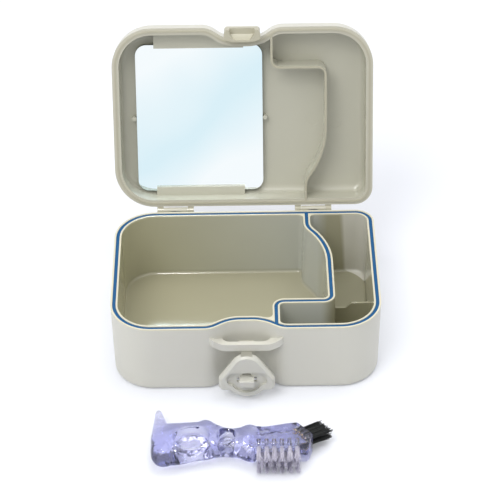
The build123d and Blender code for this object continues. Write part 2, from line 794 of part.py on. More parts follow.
with BuildPart() as brush_handle:
    # rounded handle with finger waves, lofted along its length
    for section_x, middle_y, half_across, half_up in brush_sections:
        section_plane = Plane(
            origin=(section_x, brush_y + middle_y, brush_mid), x_dir=(0, 1, 0), z_dir=(1, 0, 0)
        )
        with BuildSketch(section_plane):
            Ellipse(half_across, half_up)
    loft()
    # thumb fin across its end
    with BuildPart(mode=Mode.PRIVATE) as thumb_fin:
        for section_y, middle_x, half_across, half_up in fin_sections:
            section_plane = Plane(
                origin=(middle_x, brush_y + section_y, brush_mid), x_dir=(1, 0, 0), z_dir=(0, 1, 0)
            )
            with BuildSketch(section_plane):
                Ellipse(half_across, half_up)
        loft()
    add(thumb_fin.part)
    # head with a flat face for each set of tufts, and the handle cut back in front of one
    with BuildPart(mode=Mode.PRIVATE) as head:
        with BuildSketch(Plane((0, brush_y, 0))):
            with BuildLine():
                FilletPolyline(*head_outline, radius=head_corner_radii, close=True)
            make_face()
        extrude(amount=brush_thickness)
        head_edges = edges().group_by(Axis.Z)
        fillet(head_edges[0] + head_edges[-1], head_edge_radius)
    add(head.part)
    with BuildSketch(Plane((0, brush_y, 0))):
        with Locations((tuft_recess_x, tuft_face_y)):
            Rectangle(case_width, case_width, align=(Align.MIN, Align.MAX))
    extrude(amount=brush_thickness, mode=Mode.SUBTRACT)

    # oval hollows from both sides, leaving a web in the middle
    for oval_x, oval_y, half_long, half_short, turn_angle in brush_ovals:
        for side in (-1, 1):
            with BuildSketch(Plane((0, brush_y, brush_mid + side * brush_web / 2))):
                with Locations((oval_x, oval_y)):
                    Ellipse(half_long, half_short, rotation=turn_angle)
            extrude(amount=side * brush_mid, mode=Mode.SUBTRACT)

    # drilled holes for the tufts
    with BuildSketch(tuft_plane):
        with Locations(clear_spots):
            Circle(tuft_radius + tuft_hole_clearance)
    extrude(amount=-tuft_hole_depth, mode=Mode.SUBTRACT)
    with BuildSketch(dark_plane):
        with Locations(dark_spots):
            Circle(tuft_radius + tuft_hole_clearance)
    extrude(amount=-dark_hole_depth, mode=Mode.SUBTRACT)
finish("brush_handle", brush_handle.part)

tuft_sets = [
    ("clear", tuft_plane, clear_spots, tuft_hole_depth, tuft_reach, tuft_tip_radius),
    ("dark", dark_plane, dark_spots, dark_hole_depth, dark_tuft_reach, dark_tuft_tip_radius),
]
for set_name, plane, spots, depth, reach, tip_radius in tuft_sets:
    flare = degrees(atan2(tip_radius - tuft_radius, reach))
    for number, spot in enumerate(spots, start=1):
        with BuildPart() as tuft:
            with BuildSketch(plane.offset(anchor_height - depth)):
                with Locations(spot):
                    Circle(tuft_radius)
            extrude(amount=depth - anchor_height)
            with BuildSketch(plane):
                with Locations(spot):
                    Circle(tuft_radius)
            extrude(amount=reach, taper=-flare)
        finish(f"{set_name}_tuft_{number:02d}", tuft.part)

with BuildPart() as tuft_anchors:
    for set_name, plane, spots, depth, reach, tip_radius in tuft_sets:
        with BuildSketch(plane.offset(-depth)):
            with Locations(spots):
                Rectangle(1.6 * tuft_radius, anchor_thickness)
        extrude(amount=anchor_height)
finish("tuft_anchors", tuft_anchors.part)
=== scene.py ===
# %% [markdown]
# # Denture case
# A hinged case for dentures, with a small clear brush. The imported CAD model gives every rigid
# moulding its exact shape, so this script leaves those meshes alone. It dresses them: moulded
# plastic, a blue seal, a mirror and steel pins. Then it makes what CAD keeps plain: a clear
# brush body with softened edges, and bristles grown with Geometry Nodes.

# %% Load the frame
import math

import bmesh
import bpy
from mathutils import Matrix, Vector


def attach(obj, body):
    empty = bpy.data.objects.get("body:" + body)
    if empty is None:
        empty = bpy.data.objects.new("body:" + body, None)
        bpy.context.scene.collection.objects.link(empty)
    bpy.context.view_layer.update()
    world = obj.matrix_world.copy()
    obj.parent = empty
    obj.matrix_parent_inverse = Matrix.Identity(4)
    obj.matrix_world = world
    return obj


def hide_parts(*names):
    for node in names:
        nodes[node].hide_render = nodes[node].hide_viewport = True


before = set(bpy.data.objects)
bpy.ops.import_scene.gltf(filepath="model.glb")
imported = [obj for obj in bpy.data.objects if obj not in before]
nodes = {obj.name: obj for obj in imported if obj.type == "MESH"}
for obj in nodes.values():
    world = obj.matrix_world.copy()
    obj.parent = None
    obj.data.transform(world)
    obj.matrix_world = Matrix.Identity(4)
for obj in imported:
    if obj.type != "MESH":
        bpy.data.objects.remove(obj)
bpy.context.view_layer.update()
MM = 0.001

# %% [markdown]
# ## Camera
# The camera looks down at the open case from the front. A long lens from far away keeps the
# case's upright edges nearly parallel. A camera can be placed by hand in the viewport. Here it
# is worked out from a target point, a tilt, a small yaw and roll, and a distance, because each
# of those numbers has a meaning and can be changed without losing the others.

# %% Place the camera
FRAME_PIXELS = 500
FOCAL_PIXELS = 2125.9
SENSOR_WIDTH = 36.0
CAMERA_DISTANCE = 1033.9 * MM
CAMERA_TARGET = Vector((2.43 * MM, 0.0, 49.47 * MM))
CAMERA_YAW = 0.003907
CAMERA_TILT = 0.664293
CAMERA_ROLL = -0.011468
NEAREST_SEEN = 0.05
FARTHEST_SEEN = 20.0


def place_camera():
    """Makes the camera from its target, tilt, yaw, roll and distance."""
    level = Vector((math.cos(CAMERA_YAW), -math.sin(CAMERA_YAW), 0.0))
    ahead = Vector((math.sin(CAMERA_YAW), math.cos(CAMERA_YAW), 0.0))
    forward = ahead * math.cos(CAMERA_TILT) - Vector((0, 0, math.sin(CAMERA_TILT)))
    above = ahead * math.sin(CAMERA_TILT) + Vector((0, 0, math.cos(CAMERA_TILT)))
    right = level * math.cos(CAMERA_ROLL) + above * math.sin(CAMERA_ROLL)
    up = above * math.cos(CAMERA_ROLL) - level * math.sin(CAMERA_ROLL)
    camera_data = bpy.data.cameras.new("camera")
    camera = bpy.data.objects.new("camera", camera_data)
    bpy.context.collection.objects.link(camera)
    turn = Matrix((right, up, -forward)).transposed().to_4x4()
    camera.matrix_world = Matrix.Translation(CAMERA_TARGET - forward * CAMERA_DISTANCE) @ turn
    camera_data.sensor_width = SENSOR_WIDTH
    camera_data.lens = SENSOR_WIDTH * FOCAL_PIXELS / FRAME_PIXELS
    camera_data.clip_start = NEAREST_SEEN
    camera_data.clip_end = FARTHEST_SEEN
    bpy.context.scene.camera = camera
    return camera


camera = place_camera()
print("lens", round(camera.data.lens, 1), "mm at", [round(v, 3) for v in camera.location])

# %% [markdown]
# ## Helpers for node trees
# Every finish below is a small tree of shader nodes. A tree can be drawn in the editor, or each
# node and link can be written out in full. A few helpers do the repeated part instead, so a
# finish reads as one short recipe: which pattern, between which values, into which socket.

# %% Node tree helpers
def new_material(name):
    """An empty node material and its tree."""
    material = bpy.data.materials.new(name)
    material.use_nodes = True
    tree = material.node_tree
    tree.nodes.clear()
    return material, tree


def add_node(tree, kind, inputs=None, **settings):
    """Adds a node, sets its properties and its inputs: a socket links, a value is stored."""
    node = tree.nodes.new(kind)
    for key, value in settings.items():
        setattr(node, key, value)
    for key, value in (inputs or {}).items():
        if isinstance(value, bpy.types.NodeSocket):
            tree.links.new(value, node.inputs[key])
        else:
            node.inputs[key].default_value = value
    return node


def math_node(tree, operation, *values, clamp=False):
    """One Math node; returns its output socket."""
    inputs = {index: value for index, value in enumerate(values)}
    node = add_node(tree, "ShaderNodeMath", inputs, operation=operation, use_clamp=clamp)
    return node.outputs[0]


def output_surface(tree, shader):
    """Ends a material's tree."""
    add_node(tree, "ShaderNodeOutputMaterial", {"Surface": shader})


def seen_directly(tree):
    """1 for rays of the camera, of mirrors and of clear plastic, 0 for light that spreads."""
    path = add_node(tree, "ShaderNodeLightPath").outputs
    seen = math_node(tree, "MAXIMUM", path["Is Camera Ray"], path["Is Glossy Ray"])
    return math_node(tree, "MAXIMUM", seen, path["Is Transmission Ray"])


print("node tree helpers ready")

# %% [markdown]
# ## Floor
# The case stands on a white sheet. A plain diffuse square keeps the object's shadows, but alone
# it renders a little grey. More light would wash out the case too. So the sheet glows faintly,
# and only for what the camera, mirrors and clear plastic see: it reads as clean white, and the
# light on the case stays the same.

# %% Floor
FLOOR_HALF = 3.0
FLOOR_COLOR = (0.78, 0.80, 0.86, 1.0)
FLOOR_LIFT = 0.14
WHITE = (1.0, 1.0, 1.0, 1.0)


def make_floor():
    """A large square sheet at z = 0."""
    mesh = bpy.data.meshes.new("floor")
    h = FLOOR_HALF
    mesh.from_pydata([(-h, -h, 0), (h, -h, 0), (h, h, 0), (-h, h, 0)], [], [(0, 1, 2, 3)])
    floor = bpy.data.objects.new("floor", mesh)
    bpy.context.collection.objects.link(floor)
    material, tree = new_material("white_sheet")
    diffuse = add_node(tree, "ShaderNodeBsdfDiffuse", {"Color": FLOOR_COLOR})
    lift = math_node(tree, "MULTIPLY", seen_directly(tree), FLOOR_LIFT)
    glow = add_node(tree, "ShaderNodeEmission", {"Color": WHITE, "Strength": lift})
    both = add_node(tree, "ShaderNodeAddShader", {0: diffuse.outputs[0], 1: glow.outputs[0]})
    output_surface(tree, both.outputs[0])
    mesh.materials.append(material)
    return floor


floor = make_floor()
print("floor", FLOOR_HALF * 2, "m square")

# %% [markdown]
# ## World and lamps
# Small glossy objects are lit by large soft boxes, so that their faces shade gently and their
# shadows have no hard edge. An image of a studio could light them, but it can't be changed one
# light at a time. A plain white world and two big area lamps can: each has a place, a size and a
# power. A third lamp is small and is seen only by glossy faces. It draws the thin highlights on
# polished fillets and throws no shadow on the sheet.

# %% World and lamps
WORLD_LEVEL = 0.62
LAMP_TARGET = (0.0, 0.0, 0.03)


def make_world():
    """White surroundings: full white where they are seen, and dimmer as a light."""
    world = bpy.data.worlds.new("surroundings")
    bpy.context.scene.world = world
    world.use_nodes = True
    tree = world.node_tree
    tree.nodes.clear()
    extra = math_node(tree, "MULTIPLY", seen_directly(tree), 1.0 - WORLD_LEVEL)
    level = math_node(tree, "ADD", extra, WORLD_LEVEL)
    back = add_node(tree, "ShaderNodeBackground", {"Color": WHITE, "Strength": level})
    add_node(tree, "ShaderNodeOutputWorld", {"Surface": back.outputs[0]})


def add_lamp(name, place, size, power, color=(1.0, 1.0, 1.0)):
    """A square area lamp that faces the case."""
    lamp_data = bpy.data.lights.new(name, "AREA")
    lamp_data.shape = "SQUARE"
    lamp_data.size = size
    lamp_data.energy = power
    lamp_data.color = color
    lamp = bpy.data.objects.new(name, lamp_data)
    bpy.context.collection.objects.link(lamp)
    direction = Vector(LAMP_TARGET) - Vector(place)
    turn = direction.to_track_quat("-Z", "Y").to_matrix().to_4x4()
    lamp.matrix_world = Matrix.Translation(Vector(place)) @ turn
    return lamp


make_world()
add_lamp("key_lamp", place=(-0.45, -0.55, 1.10), size=0.7, power=7.0, color=(1.0, 0.99, 0.97))
add_lamp("top_lamp", place=(0.20, 0.25, 1.20), size=0.9, power=6.0)
window_lamp = add_lamp("window_lamp", place=(-0.12, -0.10, 1.00), size=0.15, power=7.0)
window_lamp.visible_diffuse = False
bpy.context.scene.view_settings.view_transform = "Standard"

# %% [markdown]
# ## Patterns for finishes
# Real plastic, rubber and metal are never one flat tone: they have faint clouds, smudges and
# grain. Painted image maps could hold these, but they need UV maps and a fixed resolution.
# Noise on the object's own position needs neither and keeps its real size in millimetres.

# %% Pattern helpers
def split_position(tree):
    """Object position whole, and as three sockets."""
    place = add_node(tree, "ShaderNodeTexCoord").outputs["Object"]
    split = add_node(tree, "ShaderNodeSeparateXYZ", {0: place})
    return place, split.outputs[0], split.outputs[1], split.outputs[2]


def ramp(tree, value, start, end, low=0.0, high=1.0):
    """Maps a value between start and end to low and high, and clamps it."""
    inputs = {"Value": value, "From Min": start, "From Max": end, "To Min": low, "To Max": high}
    return add_node(tree, "ShaderNodeMapRange", inputs).outputs[0]


def by_mask(tree, mask, low, high):
    """A value that goes from low to high as a mask goes from 0 to 1."""
    return ramp(tree, mask, 0.0, 1.0, low, high)


def noise(tree, place, scale, low, high, detail=2.0):
    """Noise at a scale, mapped to a range of values."""
    inputs = {"Vector": place, "Scale": scale, "Detail": detail}
    return by_mask(tree, add_node(tree, "ShaderNodeTexNoise", inputs).outputs["Fac"], low, high)


MIX_MASK, MIX_FIRST, MIX_SECOND, MIX_RESULT = 0, 6, 7, 2


def blend_color(tree, mask, first, second):
    """Mixes two colours by a mask. The Mix node's colour sockets share names, so go by number."""
    inputs = {MIX_MASK: mask, MIX_FIRST: first, MIX_SECOND: second}
    return add_node(tree, "ShaderNodeMix", inputs, data_type="RGBA").outputs[MIX_RESULT]


def scaled_color(tree, color, level):
    """A colour made lighter or darker. A fixed colour has three numbers here, without alpha."""
    inputs = {0: color, "Scale": level}
    return add_node(tree, "ShaderNodeVectorMath", inputs, operation="SCALE").outputs[0]


CLOUD_SCALE = 22.0
CLOUD_DETAIL = 3.0


def clouded(tree, place, color, spread):
    """A colour with faint clouds of lighter and darker tone, as filled plastic has."""
    level = noise(tree, place, CLOUD_SCALE, 1.0 - spread, 1.0 + spread, CLOUD_DETAIL)
    return scaled_color(tree, color, level)


def bump(tree, height, strength, distance):
    """Turns a height pattern into a bumped normal."""
    inputs = {"Strength": strength, "Distance": distance, "Height": height}
    return add_node(tree, "ShaderNodeBump", inputs).outputs[0]


def principled(tree, inputs):
    """One Principled shader; returns its output socket."""
    return add_node(tree, "ShaderNodeBsdfPrincipled", inputs).outputs[0]


print("pattern helpers ready")

# %% [markdown]
# ## Moulded plastic
# Tub, lid and latch are one warm grey polypropylene. The tool's outer faces are lightly spark
# eroded, so the outside is satin with a very fine grain. The inside comes off a polished core,
# so it is glossier. Its slightly olive tone is painted shade, and more painted light and shade
# change the tone by place: deepest painted shade on the floor, warm painted shade on the left
# walls, a cool painted reflection on the right walls, painted light on the tub's rim top and
# painted shade on the lid's rim and the hinge. Two materials on two sets of faces could do
# this, but a CAD mesh is left as it is.
# One material that mixes the finishes by place needs no change to the mesh.

# %% Two finishes on one moulding
OUTSIDE_COLOR = (0.655, 0.645, 0.575, 1.0)
OUTSIDE_ROUGH = 0.42
OUTSIDE_GRAIN = 0.14
INSIDE_GRAIN = 0.02
GRAIN_SCALE = 2600.0
GRAIN_DEPTH = 0.2 * MM
CLOUD_SPREAD = 0.03
SMUDGE_SCALE = 60.0
SMUDGE_DETAIL = 1.0
SMUDGE_ROUGH = (-0.03, 0.05)
PLASTIC_IOR = 1.49


def grain_bump(tree, place, strength):
    """The very fine grain that a spark-eroded tool leaves."""
    height = noise(tree, place, GRAIN_SCALE, low=0.0, high=1.0)
    return bump(tree, height, strength, GRAIN_DEPTH)


def plastic_shader(tree, color, rough, normal):
    """Principled shader of the moulding."""
    inputs = {"Base Color": color, "Roughness": rough, "IOR": PLASTIC_IOR, "Normal": normal}
    return principled(tree, inputs)


def two_face_shader(tree, place, mask, outside, inside, inside_rough, painted_rim_mask, painted_rim_tone):
    """Satin outside and polished inside, chosen by a mask, with a painted rim tone: light on the
    tub, shade on the lid.
    """
    face = blend_color(tree, mask, outside, inside)
    # the rim's painted light on the tub and painted shade on the lid
    face = blend_color(tree, painted_rim_mask, face, painted_rim_tone)
    color = clouded(tree, place, face, CLOUD_SPREAD)
    smudge = noise(tree, place, SMUDGE_SCALE, *SMUDGE_ROUGH, SMUDGE_DETAIL)
    rough = math_node(tree, "ADD", by_mask(tree, mask, OUTSIDE_ROUGH, inside_rough), smudge)
    strength = by_mask(tree, mask, OUTSIDE_GRAIN, INSIDE_GRAIN)
    return plastic_shader(tree, color, rough, grain_bump(tree, place, strength))


def dress(node_name, material):
    """Gives a CAD node its finish through its material slots."""
    mesh = nodes[node_name].data
    if not mesh.materials:
        mesh.materials.append(material)
    for slot in nodes[node_name].material_slots:
        slot.material = material


print("outside gloss", OUTSIDE_ROUGH, "grain", OUTSIDE_GRAIN, "inside grain", INSIDE_GRAIN)

# %% [markdown]
# ## Tub
# The tub is one moulding, from its satin outside to its polished compartments. The finish has
# to know which side of the wall a point is on. The distance from the outer wall tells it: the
# outline is a rounded rectangle with a bow in its front, and a few Math nodes can measure from
# it. Anything deeper than the wall, and above the underside, is inside.

# %% Tub plastic
# painted shade on the hinge behind the tub, under the open lid
HINGE_SHADE_COLOR = (0.46, 0.445, 0.355, 1.0)
# painted shade on the left walls, and a cool painted reflection on the right walls
TUB_LEFT_SHADE_COLOR = (0.455, 0.435, 0.285, 1.0)
TUB_RIGHT_REFLECTION_COLOR = (0.52, 0.535, 0.49, 1.0)
# painted shade, deepest on the floor
TUB_FLOOR_SHADE_COLOR = (0.385, 0.365, 0.255, 1.0)
# painted light on the rim's top
TUB_RIM_LIGHT_COLOR = (0.68, 0.65, 0.51, 1.0)
# painted shade in the brush bay
BRUSH_BAY_SHADE_COLOR = (0.40, 0.385, 0.275, 1.0)
TUB_INSIDE_ROUGH = 0.09
CASE_HALF_WIDTH = 65.0 * MM
CASE_HALF_DEPTH = 46.2 * MM
CASE_CORNER = 20.0 * MM
CASE_HEIGHT = 38.3 * MM
BOW_DEPTH = 6.2 * MM
BOW_HALF = 16.9 * MM
BOW_SLOPE = 9.45 * MM
TUB_WALL = (2.6 * MM, 3.2 * MM)
UNDERSIDE_UP = 1.2 * MM
# heights over which the painted light on the rim's top comes in
TUB_RIM_LIGHT_UP = (CASE_HEIGHT - 0.9 * MM, CASE_HEIGHT - 0.2 * MM)
# heights and widths over which the painted shade and reflection change
FLOOR_SHADE_UP = (2.0 * MM, 4.5 * MM)
WALL_SHADE_TO_REFLECTION_X = (-CASE_HALF_WIDTH, 0.5 * CASE_HALF_WIDTH)
BRUSH_BAY_SHADE_X = (36.0 * MM, 42.0 * MM)


def depth_inside_wall(tree, x, y):
    """Distance from the tub's outer wall: a rounded rectangle with a bow in its front."""
    side = math_node(tree, "ABSOLUTE", x)
    bow = math_node(tree, "SUBTRACT", BOW_HALF, side)
    bow = math_node(tree, "DIVIDE", bow, BOW_SLOPE, clamp=True)
    bow = math_node(tree, "MULTIPLY", bow, BOW_DEPTH)
    front = math_node(tree, "SUBTRACT", math_node(tree, "ADD", y, CASE_HALF_DEPTH), bow)
    across = math_node(tree, "SUBTRACT", side, CASE_HALF_WIDTH - CASE_CORNER)
    along = math_node(tree, "ABSOLUTE", y)
    along = math_node(tree, "SUBTRACT", along, CASE_HALF_DEPTH - CASE_CORNER)
    across_square = math_node(tree, "POWER", math_node(tree, "MAXIMUM", across, 0.0), 2.0)
    along_square = math_node(tree, "POWER", math_node(tree, "MAXIMUM", along, 0.0), 2.0)
    corner = math_node(tree, "SQRT", math_node(tree, "ADD", across_square, along_square))
    flat = math_node(tree, "MINIMUM", math_node(tree, "MAXIMUM", across, along), 0.0)
    inside = math_node(tree, "SUBTRACT", CASE_CORNER, math_node(tree, "ADD", corner, flat))
    return math_node(tree, "MINIMUM", inside, front)


def make_tub_plastic():
    """Outside and inside finish of the tub, told apart by the distance to its outer wall."""
    material, tree = new_material("tub_plastic")
    place, x, y, z = split_position(tree)
    past_wall = ramp(tree, depth_inside_wall(tree, x, y), *TUB_WALL)
    above_foot = math_node(tree, "GREATER_THAN", z, UNDERSIDE_UP)
    mask = math_node(tree, "MULTIPLY", past_wall, above_foot)
    before_hinge = math_node(tree, "LESS_THAN", y, CASE_HALF_DEPTH)
    # painted light on the rim's top, in front of the hinge
    rim = math_node(tree, "MULTIPLY", ramp(tree, z, *TUB_RIM_LIGHT_UP), before_hinge)
    # painted shade on the hinge
    outside = blend_color(tree, before_hinge, HINGE_SHADE_COLOR, OUTSIDE_COLOR)
    # painted shade and reflection on the inner walls, the floor and the brush bay
    walls = blend_color(tree, ramp(tree, x, *WALL_SHADE_TO_REFLECTION_X), TUB_LEFT_SHADE_COLOR, TUB_RIGHT_REFLECTION_COLOR)
    inside = blend_color(tree, ramp(tree, z, *FLOOR_SHADE_UP), TUB_FLOOR_SHADE_COLOR, walls)
    inside = blend_color(tree, ramp(tree, x, *BRUSH_BAY_SHADE_X), inside, BRUSH_BAY_SHADE_COLOR)
    shader = two_face_shader(
        tree, place, mask, outside, inside, TUB_INSIDE_ROUGH, rim, TUB_RIM_LIGHT_COLOR
    )
    output_surface(tree, shader)
    return material


dress("base_tub", make_tub_plastic())
print("tub dressed")

# %% [markdown]
# ## Lid
# The lid has the same two finishes, but it leans back on its hinge, so heights above the floor
# say nothing about it. The position is first turned back into the closed lid. The lid's walls
# are thin and its corners deep, so the distance alone isn't enough either: the direction that a
# face looks in decides. Faces near the edge that look away from the lid's middle are outside.

# %% Lid plastic
# the plastic's colour with painted olive shade inside the lid
LID_INSIDE_SHADED_COLOR = (0.525, 0.518, 0.432, 1.0)
# painted shade on the lid's rim
LID_RIM_SHADE_COLOR = (0.44, 0.418, 0.315, 1.0)
LID_INSIDE_ROUGH = 0.14
HINGE_Y = 48.2 * MM
HINGE_Z = 37.7 * MM
LID_LEAN = math.radians(109.0)
LID_MIDDLE_UP = 7.5 * MM
LID_TOP_UP = 14.4 * MM
LID_EDGE_BAND = 7.5 * MM
# heights and share of the painted shade on the lid's rim
LID_RIM_SHADE_UP = (0.4 * MM, 1.2 * MM)
LID_RIM_SHADE_SHARE = 0.9


def lid_frame(tree, y, z):
    """Turns two sockets from the opened lid back to the closed lid: along the case, and up."""
    along_y = math_node(tree, "MULTIPLY", y, math.cos(LID_LEAN))
    along_z = math_node(tree, "MULTIPLY", z, -math.sin(LID_LEAN))
    up_y = math_node(tree, "MULTIPLY", y, math.sin(LID_LEAN))
    up_z = math_node(tree, "MULTIPLY", z, math.cos(LID_LEAN))
    return math_node(tree, "ADD", along_y, along_z), math_node(tree, "ADD", up_y, up_z)


def make_lid_plastic():
    """Faces that look away from the lid's middle are satin, and those that look in are glossy."""
    material, tree = new_material("lid_plastic")
    place, x, y, z = split_position(tree)
    from_hinge = math_node(tree, "SUBTRACT", y, HINGE_Y)
    above_hinge = math_node(tree, "SUBTRACT", z, HINGE_Z)
    along, up = lid_frame(tree, from_hinge, above_hinge)
    along = math_node(tree, "ADD", along, HINGE_Y)
    facing = add_node(tree, "ShaderNodeTexCoord").outputs["Normal"]
    facing = add_node(tree, "ShaderNodeSeparateXYZ", {0: facing}).outputs
    facing_along, facing_up = lid_frame(tree, facing[1], facing[2])
    outward = math_node(tree, "MULTIPLY", facing[0], x)
    outward = math_node(tree, "MULTIPLY_ADD", facing_along, along, outward)
    above_middle = math_node(tree, "SUBTRACT", up, LID_MIDDLE_UP)
    outward = math_node(tree, "MULTIPLY_ADD", facing_up, above_middle, outward)
    outer = math_node(tree, "GREATER_THAN", outward, 0.0)
    shell = math_node(tree, "LESS_THAN", depth_inside_wall(tree, x, along), LID_EDGE_BAND)
    outer = math_node(tree, "MULTIPLY", outer, shell)
    outer = math_node(tree, "MAXIMUM", outer, math_node(tree, "GREATER_THAN", up, LID_TOP_UP))
    mask = math_node(tree, "SUBTRACT", 1.0, outer)
    # painted shade on the lid's rim
    rim = ramp(tree, up, *LID_RIM_SHADE_UP, LID_RIM_SHADE_SHARE, 0.0)
    shader = two_face_shader(
        tree, place, mask, OUTSIDE_COLOR, LID_INSIDE_SHADED_COLOR, LID_INSIDE_ROUGH, rim, LID_RIM_SHADE_COLOR
    )
    output_surface(tree, shader)
    return material


dress("lid_shell", make_lid_plastic())
print("lid dressed, leaning back", round(math.degrees(LID_LEAN)), "degrees")

# %% [markdown]
# ## Latch
# The swing latch is a small flap of the same plastic, moulded on its own. It could share the
# tub's material, but that one reads positions on the tub, and the flap has no polished inside.
# One plain satin finish all over is closer to the real flap.

# %% Latch plastic
LATCH_COLOR = (0.62, 0.615, 0.555)
LATCH_ROUGH = (0.33, 0.42)
LATCH_GRAIN = 0.12


def make_latch_plastic():
    """The small flap has one finish all over."""
    material, tree = new_material("latch_plastic")
    place = split_position(tree)[0]
    color = clouded(tree, place, LATCH_COLOR, CLOUD_SPREAD)
    rough = noise(tree, place, SMUDGE_SCALE, *LATCH_ROUGH, SMUDGE_DETAIL)
    output_surface(tree, plastic_shader(tree, color, rough, grain_bump(tree, place, LATCH_GRAIN)))
    return material


dress("latch_flap", make_latch_plastic())
print("latch dressed")

# %% [markdown]
# ## Seal
# The seal is a cord of blue thermoplastic rubber, pressed into a groove along the rim and the
# partition. Rubber could be a flat blue, but up close it has a fine mottled tone and a soft,
# broken sheen. A dark base colour, a weak specular and a shallow bump give that.

# %% Seal
SEAL_COLOR = (0.004, 0.088, 0.235)
SEAL_TONE = (0.88, 1.12)
SEAL_ROUGH = (0.48, 0.62)
SEAL_ROUGH_SCALE = 300.0
SEAL_IOR = 1.45
SEAL_SPECULAR = 0.3
SEAL_MOTTLE_SCALE = 900.0
SEAL_MOTTLE_STRENGTH = 0.15
SEAL_MOTTLE_DEPTH = 0.1 * MM


def make_seal():
    """Blue rubber with a fine mottled tone and a soft sheen."""
    material, tree = new_material("seal_rubber")
    place = split_position(tree)[0]
    tone = noise(tree, place, SEAL_MOTTLE_SCALE, *SEAL_TONE)
    height = noise(tree, place, SEAL_MOTTLE_SCALE, low=0.0, high=1.0)
    inputs = {
        "Base Color": scaled_color(tree, SEAL_COLOR, tone),
        "Roughness": noise(tree, place, SEAL_ROUGH_SCALE, *SEAL_ROUGH),
        "IOR": SEAL_IOR,
        "Specular IOR Level": SEAL_SPECULAR,
        "Normal": bump(tree, height, SEAL_MOTTLE_STRENGTH, SEAL_MOTTLE_DEPTH),
    }
    output_surface(tree, principled(tree, inputs))
    return material


dress("rim_gasket", make_seal())
print("seal dressed")

# %% [markdown]
# ## Mirror
# The mirror is a silvered glass plate in the lid. A perfect mirror would show only the white
# surroundings and vanish against them. So a painted reflection, a pale blue band that drifts
# diagonally across the plate, goes into its colour. The plate's ground edge is dark green glass.
# Real silvering has a pale blue cast that drifts across
# the plate, so a soft diagonal band carries it. The plate's ground edge is dark green glass.
# Its faces are the ones that don't point straight out of the lid, so no second piece is needed.

# %% Mirror
# width of the painted reflection band
REFLECTION_BAND_WIDTH = 42.0 * MM
BAND_RIGHT_SHARE = 0.6
BAND_DOWN_SHARE = 0.8
BAND_EDGES = (0.05, 0.75)
BAND_DRIFT = (-0.35, 0.35)
BAND_DRIFT_SCALE = 26.0
# painted reflection: a pale blue cast
PAINTED_REFLECTION_BLUE = (0.70, 0.87, 0.94, 1.0)
SILVER_WHITE = (0.91, 0.965, 0.99, 1.0)
GROUND_EDGE_COLOR = (0.035, 0.075, 0.060, 1.0)
GROUND_EDGE_FACING = (0.75, 0.95)
SILVER_ROUGH = 0.03
GROUND_ROUGH = 0.35
LID_INWARD = (0.0, -math.sin(LID_LEAN), -math.cos(LID_LEAN))

mirror_points = [nodes["mirror"].matrix_world @ v.co for v in nodes["mirror"].data.vertices]
mirror_x = sum(p.x for p in mirror_points) / len(mirror_points)
mirror_z = sum(p.z for p in mirror_points) / len(mirror_points)
print("mirror middle", round(mirror_x, 4), round(mirror_z, 4))


def make_mirror():
    """Silver with a painted reflection in a pale blue diagonal band, and a dark green ground
    edge.
    """
    material, tree = new_material("silvered_mirror")
    place, x, y, z = split_position(tree)
    right = math_node(tree, "SUBTRACT", x, mirror_x)
    right = math_node(tree, "MULTIPLY", right, BAND_RIGHT_SHARE)
    down = math_node(tree, "SUBTRACT", mirror_z, z)
    down = math_node(tree, "MULTIPLY", down, BAND_DOWN_SHARE)
    slant = math_node(tree, "DIVIDE", math_node(tree, "ADD", right, down), REFLECTION_BAND_WIDTH)
    drift = noise(tree, place, BAND_DRIFT_SCALE, *BAND_DRIFT, detail=1.0)
    band = math_node(tree, "ABSOLUTE", math_node(tree, "ADD", slant, drift))
    # painted reflection: a pale blue band across the silver
    silver = blend_color(tree, ramp(tree, band, *BAND_EDGES), PAINTED_REFLECTION_BLUE, SILVER_WHITE)
    inputs = {0: add_node(tree, "ShaderNodeTexCoord").outputs["Normal"], 1: LID_INWARD}
    toward = add_node(tree, "ShaderNodeVectorMath", inputs, operation="DOT_PRODUCT")
    toward = math_node(tree, "ABSOLUTE", toward.outputs["Value"])
    ground = ramp(tree, toward, *GROUND_EDGE_FACING, 1.0, 0.0)
    inputs = {
        "Base Color": blend_color(tree, ground, silver, GROUND_EDGE_COLOR),
        "Metallic": math_node(tree, "SUBTRACT", 1.0, ground),
        "Roughness": by_mask(tree, ground, SILVER_ROUGH, GROUND_ROUGH),
    }
    output_surface(tree, principled(tree, inputs))
    return material


dress("mirror", make_mirror())
print("mirror dressed")

# %% [markdown]
# ## Pins and anchors
# Drawn steel pins carry the lid and the latch, and small brass plates hold the tufts at the
# bottoms of their holes. They are tiny, so an image of brushed metal would be lost on them. One
# rule makes both metals: a plain metal colour whose gloss varies in fine spots.

# %% Steel and brass
STEEL_COLOR = (0.62, 0.62, 0.63)
STEEL_ROUGH = 0.3
BRASS_COLOR = (0.83, 0.62, 0.28)
BRASS_ROUGH = 0.28
METAL_WEAR = 0.08
METAL_WEAR_SCALE = 1500.0


def make_metal(name, color, rough):
    """Drawn metal: fine variation in its tone and its gloss."""
    material, tree = new_material(name)
    place = split_position(tree)[0]
    inputs = {
        "Base Color": clouded(tree, place, color, METAL_WEAR),
        "Metallic": 1.0,
        "Roughness": noise(
            tree, place, METAL_WEAR_SCALE, rough - METAL_WEAR, rough + METAL_WEAR
        ),
    }
    output_surface(tree, principled(tree, inputs))
    return material


steel = make_metal("pin_steel", STEEL_COLOR, STEEL_ROUGH)
for pin in ("hinge_pin_left", "hinge_pin_right", "latch_pin"):
    dress(pin, steel)
dress("tuft_anchors", make_metal("anchor_brass", BRASS_COLOR, BRASS_ROUGH))
print("pins and anchors dressed")

